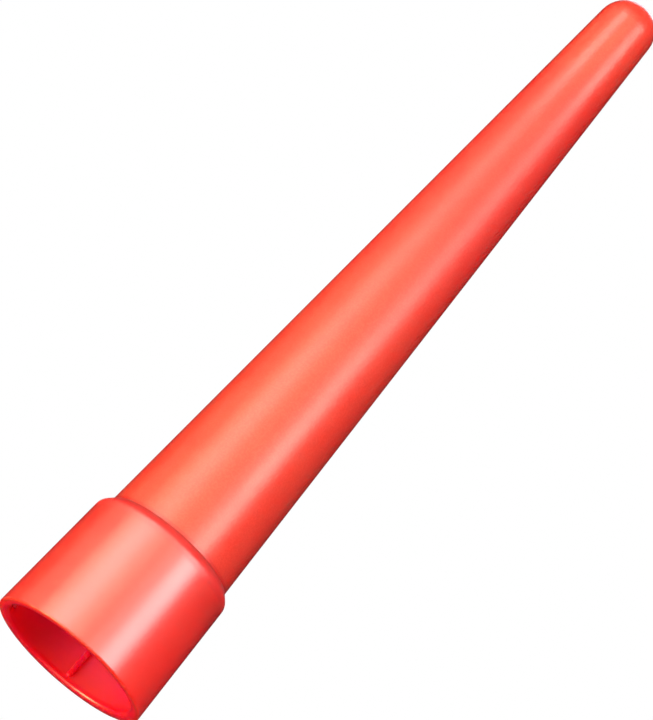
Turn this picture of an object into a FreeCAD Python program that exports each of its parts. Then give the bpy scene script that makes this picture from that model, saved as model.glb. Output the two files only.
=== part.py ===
import FreeCAD, Part
import math
import os

# Slip-on signal cone for a hand torch: a ribbed collar that pushes over the torch's head, and a
# long hollow cone that glows when the torch shines up it. Millimetres. The origin is the centre of
# the collar's open mouth, and +Z runs up the axis to the closed tip.

# Collar, outside
mouth_radius = 24.0            # outer radius in the plane of the mouth
corner_radius = 22.1           # outer radius where the tapered wall meets the shoulder
corner_height = 38.2
corner_rounding = 2.8
rim_outer_rounding = 0.55
collar_height = 40.6           # top of the shoulder, where the cone comes out
shoulder_land = 0.3            # flat ring between the shoulder's slope and the cone

# Collar, inside
socket_mouth_radius = 20.8     # wall between the ribs, at the mouth
socket_end_radius = 20.4       # the same wall at the stop ledge, after its draft
rim_inner_rounding = 1.1
stop_height = 26.0             # underside of the ledge that the torch's bezel meets
seat_height = 28.5             # top of the ledge, where the cone's foot stands
ledge_hole_radius = 17.3

# Grip ribs inside the collar
rib_count = 4
rib_crest_radius = 19.6        # the crests lie on a true cylinder of this radius
rib_root_radius = 21.6         # the root is buried in the wall
rib_width = 1.6
rib_crest_rounding = 0.5
rib_low_end = 1.9
rib_high_end = 25.2

# Cone
foot_radius = 19.6             # outer radius of the straight foot that plugs into the collar
foot_clearance = 0.05          # radial gap between the foot and the collar's seat
foot_lead_in = 0.5             # chamfer on the foot's lower edge
cone_wall = 2.3
tip_radius = 8.7               # outer radius of the ball that closes the tip
tip_centre_height = 244.4

AXIS_START = FreeCAD.Vector(0, 0, 0)
AXIS = FreeCAD.Vector(0, 0, 1)


def section_point(radius, height):
    """A point of a half section, which lies in the XZ plane."""
    return FreeCAD.Vector(radius, 0, height)


def revolve(edges):
    """Solid of revolution from the edges of a closed half section."""
    outline = Part.Wire(Part.__sortEdges__(edges))
    return Part.Face(outline).revolve(AXIS_START, AXIS, 360)


def rounded_polygon(corners):
    """Edges of a closed polygon through (radius, height, rounding) corners."""
    points = [section_point(radius, height) for radius, height, _ in corners]
    starts = []
    ends = []
    edges = []
    for index, corner in enumerate(points):
        rounding = corners[index][2]
        to_before = (points[index - 1] - corner).normalize()
        to_after = (points[(index + 1) % len(points)] - corner).normalize()
        half_angle = to_before.getAngle(to_after) / 2
        reach = rounding / math.tan(half_angle)
        starts.append(corner + to_before * reach)
        ends.append(corner + to_after * reach)
        if rounding:
            inward = (to_before + to_after).normalize()
            middle = corner + inward * (rounding / math.sin(half_angle) - rounding)
            edges.append(Part.Arc(starts[-1], middle, ends[-1]).toShape())
    for index, end in enumerate(ends):
        edges.append(Part.makeLine(end, starts[(index + 1) % len(points)]))
    return edges


def make_rib(azimuth):
    """One axial grip rib: a bar with round ends and a rounded crest."""
    half = rib_width / 2
    low = rib_low_end + half
    high = rib_high_end - half
    low_right = FreeCAD.Vector(rib_crest_radius, half, low)
    high_right = FreeCAD.Vector(rib_crest_radius, half, high)
    low_left = FreeCAD.Vector(rib_crest_radius, -half, low)
    high_left = FreeCAD.Vector(rib_crest_radius, -half, high)
    outline = Part.Wire([
        Part.makeLine(low_right, high_right),
        Part.Arc(high_right, section_point(rib_crest_radius, rib_high_end), high_left).toShape(),
        Part.makeLine(high_left, low_left),
        Part.Arc(low_left, section_point(rib_crest_radius, rib_low_end), low_right).toShape(),
    ])
    depth = rib_root_radius - rib_crest_radius
    bar = Part.Face(outline).extrude(FreeCAD.Vector(depth, 0, 0))
    crest_edges = [edge for edge in bar.Edges if edge.BoundBox.XMax < rib_crest_radius + 0.01]
    bar = bar.makeFillet(rib_crest_rounding, crest_edges)
    bar.rotate(AXIS_START, AXIS, azimuth)
    return bar


def make_collar():
    """Tapered socket with a rounded rim, a sloping shoulder, a stop ledge and grip ribs."""
    seat_radius = foot_radius + foot_clearance
    shell = revolve(rounded_polygon([
        (socket_mouth_radius, 0, rim_inner_rounding),
        (mouth_radius, 0, rim_outer_rounding),
        (corner_radius, corner_height, corner_rounding),
        (seat_radius + shoulder_land, collar_height, 0),
        (seat_radius, collar_height, 0),
        (seat_radius, seat_height, 0),
        (ledge_hole_radius, seat_height, 0),
        (ledge_hole_radius, stop_height, 0),
        (socket_end_radius, stop_height, 0),
    ]))
    ribs = [make_rib(360 / rib_count * index) for index in range(rib_count)]
    return shell.fuse(ribs).removeSplitter()


def tip_arc(side_radius, ball_radius):
    """Arc of a tip ball, from the axis to where a side from the collar's top touches it."""
    drop = tip_centre_height - collar_height
    touch_angle = math.acos(ball_radius / math.hypot(side_radius, drop)) - math.atan2(drop, side_radius)
    ends = []
    for angle in (math.pi / 2, (math.pi / 2 + touch_angle) / 2, touch_angle):
        radius = ball_radius * math.cos(angle)
        ends.append(section_point(radius, tip_centre_height + ball_radius * math.sin(angle)))
    return ends


def make_cone():
    """Hollow cone of even wall, with a straight plug-in foot and a ball tip."""
    foot_inner_radius = foot_radius - cone_wall
    outer_top, outer_middle, outer_touch = tip_arc(foot_radius, tip_radius)
    inner_top, inner_middle, inner_touch = tip_arc(foot_inner_radius, tip_radius - cone_wall)
    corners = [
        outer_touch,
        section_point(foot_radius, collar_height),
        section_point(foot_radius, seat_height + foot_lead_in),
        section_point(foot_radius - foot_lead_in, seat_height),
        section_point(foot_inner_radius, seat_height),
        section_point(foot_inner_radius, collar_height),
        inner_touch,
    ]
    edges = [Part.makeLine(start, end) for start, end in zip(corners, corners[1:])]
    edges.append(Part.Arc(inner_touch, inner_middle, inner_top).toShape())
    edges.append(Part.makeLine(inner_top, outer_top))
    edges.append(Part.Arc(outer_top, outer_middle, outer_touch).toShape())
    return revolve(edges)


os.makedirs("parts", exist_ok=True)
for name, shape in (("collar", make_collar()), ("cone", make_cone())):
    solid = shape.Solids[0]
    solid.exportStep(f"parts/{name}.step")
    box = solid.BoundBox
    print(name, solid.isValid(), len(shape.Solids), round(solid.Volume), "mm3",
          "z", round(box.ZMin, 2), round(box.ZMax, 2), "width", round(box.XLength, 2))
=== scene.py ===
import math

import bmesh
import bpy
from mathutils import Matrix, Vector


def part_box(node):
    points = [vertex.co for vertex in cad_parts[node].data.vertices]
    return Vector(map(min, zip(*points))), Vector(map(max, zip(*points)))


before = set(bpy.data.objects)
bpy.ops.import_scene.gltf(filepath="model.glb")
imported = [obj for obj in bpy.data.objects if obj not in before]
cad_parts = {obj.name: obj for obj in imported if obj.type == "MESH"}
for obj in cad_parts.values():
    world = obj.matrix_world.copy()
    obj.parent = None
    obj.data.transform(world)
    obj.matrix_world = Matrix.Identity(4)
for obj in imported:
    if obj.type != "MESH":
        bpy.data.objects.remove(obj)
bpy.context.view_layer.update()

scene = bpy.context.scene
scene.view_settings.view_transform = "Standard"

MM = 0.001

# Camera at the photograph's viewing angle: below the mouth, looking up, and rolled so that the
# cone leans to the right. It looks at a point near the cone's middle.
CAMERA_AIM = Vector((-0.0015, 0.0, 0.1108))
CAMERA_DISTANCE = 1.0885
CAMERA_AZIMUTH = math.radians(7.4)
CAMERA_LIFT = math.radians(-19.81)
CAMERA_ROLL = math.radians(41.45)

# Floor and backdrop. The floor turns into the white backdrop between two distances from the axis.
WHITE = (1.0, 1.0, 1.0, 1.0)
FLOOR_COLOUR = (0.82, 0.82, 0.84, 1.0)
FLOOR_RADIUS = 1.6
FLOOR_DROP = 0.0002
FADE_START = 0.15
FADE_END = 0.9
FILL_COLOUR = (0.6, 0.45, 0.9, 1.0)
FILL_STRENGTH = 0.04

# Tints of the lights
WARM = (1.0, 0.95, 0.66)
PALE = (1.0, 0.91, 0.92)
ROSE = (1.0, 0.65, 0.35)
AMBER = (1.0, 0.9, 0.4)
ROSY = (1.1, 0.78, 0.62)
CRIMSON = (1.0, 0.35, 0.35)

# Soft boxes: name, azimuth to the camera's right, elevation, distance, width, height, radiance and
# tint. Angles are in degrees and lengths in metres. The key and the second group draw the two long
# highlights, the haze fills the left side, and the panels below light the rim and the socket.
LIGHT_AIM = Vector((0.0, 0.0, 0.12))
LIGHTS = (
    ("key_wide", -43, 17, 2.8, 3.05, 1.3, 4.4, WARM),
    ("key_core", -43, 24.5, 2.8, 1.32, 1.19, 4.0, PALE),
    ("key_high", -43, 37, 3.0, 1.3, 0.45, 11.0, PALE),
    ("front", -4, 29.5, 2.8, 1.27, 1.45, 3.2, WARM),
    ("second_wide", 28, 17, 2.8, 2.16, 1.3, 4.5, ROSY),
    ("second_core", 39, 24.5, 2.8, 1.28, 1.19, 10.0, PALE),
    ("second_high", 39, 37, 3.0, 1.2, 0.45, 2.8, PALE),
    ("second_tail", 66, 23, 2.8, 1.25, 1.2, 0.3, ROSY),
    ("haze", -84, 20, 2.8, 2.7, 1.8, 1.15, WARM),
    ("below", -64, -42, 1.1, 0.45, 0.6, 17.0, AMBER),
    ("below_front", -20, -50, 1.1, 1.0, 0.8, 1.7, ROSE),
    ("below_rim", -30, -78, 1.0, 0.6, 0.6, 1.5, CRIMSON),
    ("back", 180, 50, 1.4, 0.5, 0.4, 9.0, PALE),
    ("back_left", -140, -2, 1.2, 0.6, 0.4, 0.4, WARM),
    ("back_right", 145, -2, 1.2, 0.6, 0.4, 0.3, ROSY),
)

# Heights where the collar ends, the cone's foot stands and the tip closes
SEAM_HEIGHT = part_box("collar")[1][2]
FOOT_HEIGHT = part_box("cone")[0][2]
TIP_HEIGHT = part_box("cone")[1][2]

# The collar's tapered outer wall, from the mouth to the shoulder's corner
MOUTH_RADIUS = 24.0 * MM
CORNER_RADIUS = 22.1 * MM
CORNER_HEIGHT = 38.2 * MM
WALL_TAPER = (MOUTH_RADIUS - CORNER_RADIUS) / CORNER_HEIGHT

# Colours of the plastic, and the painted shade tones laid over it: in the socket, on the shoulder band, in
# the crease over the collar and on the cone's upper part
RED = (0.90, 0.049, 0.037)
FROSTED_RED = (0.96, 0.059, 0.038)
# Painted shade: the crimson of the socket's shaded inside and rim face
INNER_SHADE = (0.84, 0.004, 0.050, 1.0)
# Painted shade: purpler and darker deeper in the socket
DEEP_SHADE = (0.83, 0.003, 0.125, 1.0)
# Painted shade: the darker shoulder band between the collar's wall and the cone
SHOULDER_SHADE = (0.61, 0.027, 0.027, 1.0)
# Painted shade: a dark line in the crease where the cone rises from the collar
CREASE_SHADE = (0.85, 0.026, 0.024, 1.0)
# Painted shade: a deeper red on the cone's upper part
UPPER_SHADE = (0.70, 0.030, 0.030, 1.0)
SCUFFED = (0.88, 0.15, 0.12, 1.0)

# Detail of the plastic: how large it is, and how darker patches and lighter specks scale a colour
PATCH_SIZE = 18 * MM
SPECK_SIZE = 0.6 * MM
SCUFF_SIZE = 1.4 * MM
PATCH_SCALE = (0.9, 0.8, 0.85)
SPECK_SCALE = (1.08, 1.5, 1.5)
LEAST_ROUGHNESS = 0.28
PATCH_ROUGHNESS = 0.05

# A clear skin that hardly reflects, and deepens the colour where it is seen at a slant
SKIN_IOR = 1.003
SKIN_TINT = (0.915, 0.90, 0.92, 1.0)


def direction(azimuth, elevation):
    """Unit vector towards an azimuth, turned from -Y to +X, and an elevation, both in radians."""
    flat = math.cos(elevation)
    return Vector((math.sin(azimuth) * flat, -math.cos(azimuth) * flat, math.sin(elevation)))


def make_camera():
    data = bpy.data.cameras.new("camera")
    data.lens = 200.0
    data.sensor_width = 36.0
    data.clip_start = 0.02
    data.clip_end = 50.0
    camera = bpy.data.objects.new("camera", data)
    back = direction(CAMERA_AZIMUTH, CAMERA_LIFT)
    level = back.to_track_quat("Z", "Y").to_matrix().to_4x4()
    place = Matrix.Translation(CAMERA_AIM + back * CAMERA_DISTANCE)
    camera.matrix_world = place @ level @ Matrix.Rotation(CAMERA_ROLL, 4, "Z")
    scene.collection.objects.link(camera)
    scene.camera = camera


class Nodes:
    """Short calls for building a node tree."""

    def __init__(self, tree):
        self.tree = tree
        tree.nodes.clear()

    def add(self, kind, inputs=None, **settings):
        """A node with settings and inputs; an input is a number, a colour or another node's output."""
        node = self.tree.nodes.new(kind)
        for key, value in settings.items():
            setattr(node, key, value)
        for key, value in (inputs or {}).items():
            if isinstance(value, bpy.types.NodeSocket):
                self.tree.links.new(value, node.inputs[key])
            else:
                node.inputs[key].default_value = value
        return node

    def math(self, operation, first, second):
        return self.add("ShaderNodeMath", {0: first, 1: second}, operation=operation).outputs[0]

    def product(self, first, *others):
        """First value times all the others."""
        for other in others:
            first = self.math("MULTIPLY", first, other)
        return first

    def ramp(self, value, start, end):
        """Smooth step from 0 to 1 as value goes from start to end, upwards or downwards."""
        inputs = {"Value": value, "From Min": start, "From Max": end}
        return self.add("ShaderNodeMapRange", inputs, interpolation_type="SMOOTHSTEP").outputs[0]

    def band(self, value, rise, full, fall, end):
        """Smooth step up from rise to full, and down again from fall to end."""
        return self.product(self.ramp(value, rise, full), self.ramp(value, end, fall))

    def noise(self, vector, size):
        """Noise from 0 to 1 with features about size metres across."""
        inputs = {"Vector": vector, "Scale": 1 / size, "Detail": 3.0}
        return self.add("ShaderNodeTexNoise", inputs).outputs[0]

    def blend(self, factor, first, second):
        """Mix of two colours."""
        node = self.add("ShaderNodeMix", data_type="RGBA")
        for socket, value in zip((node.inputs[0], node.inputs[6], node.inputs[7]), (factor, first, second)):
            if isinstance(value, bpy.types.NodeSocket):
                self.tree.links.new(value, socket)
            else:
                socket.default_value = value
        return node.outputs[2]

    def mix(self, factor, first, second):
        """Mix of two shader nodes."""
        inputs = {0: factor, 1: first.outputs[0], 2: second.outputs[0]}
        return self.add("ShaderNodeMixShader", inputs)

    def output(self, kind, shader):
        node = self.tree.nodes.new(kind)
        self.tree.links.new(shader.outputs[0], node.inputs["Surface"])


def make_world():
    """Dim fill light, with the white backdrop seen only by the camera."""
    world = bpy.data.worlds.new("studio")
    scene.world = world
    world.use_nodes = True
    nodes = Nodes(world.node_tree)
    fill = nodes.add("ShaderNodeBackground", {"Color": FILL_COLOUR, "Strength": FILL_STRENGTH})
    seen = nodes.add("ShaderNodeBackground", {"Color": WHITE, "Strength": 1.0})
    to_camera = nodes.add("ShaderNodeLightPath").outputs["Is Camera Ray"]
    nodes.output("ShaderNodeOutputWorld", nodes.mix(to_camera, fill, seen))


def make_floor():
    """Pale floor that fades into the white backdrop. It is clear from below, where the camera stands."""
    mesh = bpy.data.meshes.new("floor")
    shape = bmesh.new()
    bmesh.ops.create_circle(shape, cap_ends=True, radius=FLOOR_RADIUS, segments=96)
    shape.to_mesh(mesh)
    shape.free()
    floor = bpy.data.objects.new("floor", mesh)
    floor.location.z = -FLOOR_DROP
    scene.collection.objects.link(floor)
    floor.visible_diffuse = False
    floor.visible_glossy = False
    floor.visible_transmission = False
    floor.visible_shadow = False
    material = bpy.data.materials.new("floor_pale")
    material.use_nodes = True
    mesh.materials.append(material)
    nodes = Nodes(material.node_tree)
    place = nodes.add("ShaderNodeTexCoord").outputs["Object"]
    from_axis = nodes.add("ShaderNodeVectorMath", {0: place}, operation="LENGTH").outputs["Value"]
    lit = nodes.add("ShaderNodeBsdfDiffuse", {"Color": FLOOR_COLOUR})
    glow = nodes.add("ShaderNodeEmission", {"Color": WHITE, "Strength": 1.0})
    faded = nodes.mix(nodes.ramp(from_axis, FADE_START, FADE_END), lit, glow)
    clear = nodes.add("ShaderNodeBsdfTransparent")
    from_below = nodes.add("ShaderNodeNewGeometry").outputs["Backfacing"]
    nodes.output("ShaderNodeOutputMaterial", nodes.mix(from_below, faded, clear))


def make_panel(name, azimuth, elevation, distance, wide, tall, radiance, tint):
    """Soft box that faces the cone's middle."""
    data = bpy.data.lights.new(name, "AREA")
    data.shape = "RECTANGLE"
    data.size = wide
    data.size_y = tall
    data.energy = radiance * math.pi * wide * tall
    data.color = tint
    panel = bpy.data.objects.new(name, data)
    back = direction(CAMERA_AZIMUTH + math.radians(azimuth), math.radians(elevation))
    panel.location = LIGHT_AIM + back * distance
    panel.rotation_mode = "QUATERNION"
    panel.rotation_quaternion = (-back).to_track_quat("-Z", "Y")
    panel.visible_camera = False
    scene.collection.objects.link(panel)


def lay_over(nodes, colour, rough, shades, rougher):
    """Colour with masked shades over it, and roughness with masked amounts added."""
    for mask, amount, shade in shades:
        colour = nodes.blend(nodes.product(mask, amount), colour, shade)
    for mask, amount in rougher:
        rough = nodes.math("ADD", rough, nodes.product(mask, amount))
    return colour, rough


def collar_shade_and_wear(nodes, height, radius, scuffs, colour, rough):
    """Painted shade inside the socket, darker and purpler with depth, painted shade on the shoulder band,
    scuffed rim and ribs, and less skin inside.
    """
    wall = nodes.math("SUBTRACT", MOUTH_RADIUS, nodes.product(height, WALL_TAPER))
    below_ledge = nodes.ramp(height, FOOT_HEIGHT - 0.2 * MM, FOOT_HEIGHT - 1.2 * MM)
    # Inside of the socket and the rim face, where the painted shade tone goes; it also makes the walls
    # rougher and the skin thinner
    inner = nodes.product(nodes.ramp(nodes.math("SUBTRACT", wall, radius), 0.7 * MM, 1.6 * MM), below_ledge)
    # Painted shade that grows with depth in the socket
    deep_shade = nodes.product(inner, nodes.ramp(height, 1 * MM, 11 * MM))
    past_rim = nodes.ramp(height, 1.0 * MM, 2.5 * MM)
    between_ribs = nodes.product(inner, past_rim, nodes.ramp(radius, 20.1 * MM, 20.35 * MM))
    crests = nodes.product(inner, nodes.ramp(radius, 19.95 * MM, 19.7 * MM))
    rim = nodes.ramp(height, 0.9 * MM, 0.1 * MM)
    rubbed = nodes.product(nodes.math("MAXIMUM", rim, crests), scuffs)
    # Shoulder band, where shade is painted; it is also rougher and has less skin
    shoulder = nodes.ramp(height, SEAM_HEIGHT - 5.1 * MM, SEAM_HEIGHT - 4.0 * MM)

    shades = (
        (inner, 1.0, INNER_SHADE),
        (deep_shade, 1.0, DEEP_SHADE),
        (shoulder, 0.8, SHOULDER_SHADE),
        (rubbed, 0.3, SCUFFED),
    )
    rougher = ((between_ribs, 0.25), (shoulder, 0.1), (rubbed, 0.12))
    colour, rough = lay_over(nodes, colour, rough, shades, rougher)
    bare = nodes.math("MAXIMUM", nodes.product(inner, 0.6), nodes.product(shoulder, 0.85))
    return colour, rough, nodes.math("SUBTRACT", 1.0, bare)


def cone_shade_and_wear(nodes, height, radius, scuffs, colour, rough):
    """Painted shade in the crease over the collar, duller middle, painted shade on the upper part, scuffed
    tip and foot edge.
    """
    # Painted shade in the crease just above the collar
    crease_shade = nodes.band(height, SEAM_HEIGHT - 0.1 * MM, SEAM_HEIGHT + 0.05 * MM,
                      SEAM_HEIGHT + 0.8 * MM, SEAM_HEIGHT + 1.2 * MM)
    dull = nodes.band(height, 60 * MM, 165 * MM, 196 * MM, 226 * MM)
    # Painted shade on the cone's upper part
    upper_shade = nodes.band(height, 105 * MM, 175 * MM, 208 * MM, 232 * MM)
    tip = nodes.ramp(height, TIP_HEIGHT - 7 * MM, TIP_HEIGHT)
    foot_edge = nodes.ramp(height, FOOT_HEIGHT + 1.2 * MM, FOOT_HEIGHT + 0.2 * MM)
    rubbed = nodes.product(nodes.math("MAXIMUM", tip, foot_edge), scuffs)

    shades = ((crease_shade, 0.8, CREASE_SHADE), (upper_shade, 0.5, UPPER_SHADE), (rubbed, 0.3, SCUFFED))
    rougher = ((dull, 0.13), (rubbed, 0.12))
    colour, rough = lay_over(nodes, colour, rough, shades, rougher)
    return colour, rough, 1.0


def scaled(colour, scale):
    """An opaque colour from three channels and their factors."""
    return (*(channel * factor for channel, factor in zip(colour, scale)), 1.0)


def plastic(name, outside, level, tint, grain, speckle, shade_and_wear):
    """Translucent moulded plastic with patchy colour, moulding grain, local painted shade and wear, and a
    clear skin.
    """
    material = bpy.data.materials.new(name)
    material.use_nodes = True
    nodes = Nodes(material.node_tree)
    place = nodes.add("ShaderNodeTexCoord").outputs["Object"]
    split = nodes.add("ShaderNodeSeparateXYZ", {0: place})
    height = split.outputs["Z"]
    flat = nodes.add("ShaderNodeCombineXYZ", {0: split.outputs["X"], 1: split.outputs["Y"]}).outputs[0]
    radius = nodes.add("ShaderNodeVectorMath", {0: flat}, operation="LENGTH").outputs["Value"]
    patches = nodes.noise(place, PATCH_SIZE)
    specks = nodes.noise(place, SPECK_SIZE)
    scuffs = nodes.ramp(nodes.noise(place, SCUFF_SIZE), 0.48, 0.66)

    patch_mask = nodes.product(nodes.ramp(patches, 0.35, 0.7), 0.5)
    colour = nodes.blend(patch_mask, (*outside, 1.0), scaled(outside, PATCH_SCALE))
    speck_mask = nodes.product(nodes.ramp(specks, 0.4, 0.65), speckle)
    colour = nodes.blend(speck_mask, colour, scaled(outside, SPECK_SCALE))
    rough = nodes.math("ADD", LEAST_ROUGHNESS, nodes.product(patches, PATCH_ROUGHNESS))
    colour, rough, skin = shade_and_wear(nodes, height, radius, scuffs, colour, rough)
    relief = nodes.product(specks, grain)
    bump = nodes.add("ShaderNodeBump", {"Height": relief, "Distance": 1.0, "Strength": 1.0})

    shader = nodes.add("ShaderNodeBsdfPrincipled", {
        "Base Color": colour,
        "Roughness": rough,
        "Normal": bump.outputs[0],
        "IOR": 1.58,
        "Specular IOR Level": level,
        "Specular Tint": (*tint, 1.0),
        "Subsurface Weight": 1.0,
        "Subsurface Radius": (1.0, 0.065, 0.05),
        "Subsurface Scale": 8.5 * MM,
        "Coat Weight": skin,
        "Coat Roughness": 0.29,
        "Coat IOR": SKIN_IOR,
        "Coat Tint": SKIN_TINT,
    })
    nodes.output("ShaderNodeOutputMaterial", shader)
    return material


make_camera()
make_world()
make_floor()
for light in LIGHTS:
    make_panel(*light)

for node, material in (
    ("collar", plastic("collar_red", RED, 0.68, (1.0, 1.0, 1.0), 0.01 * MM, 0.05, collar_shade_and_wear)),
    ("cone", plastic("cone_red", FROSTED_RED, 0.40, (1.0, 1.0, 0.85), 0.06 * MM, 0.5, cone_shade_and_wear)),
):
    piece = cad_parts[node]
    piece.data.materials.clear()
    piece.data.materials.append(material)
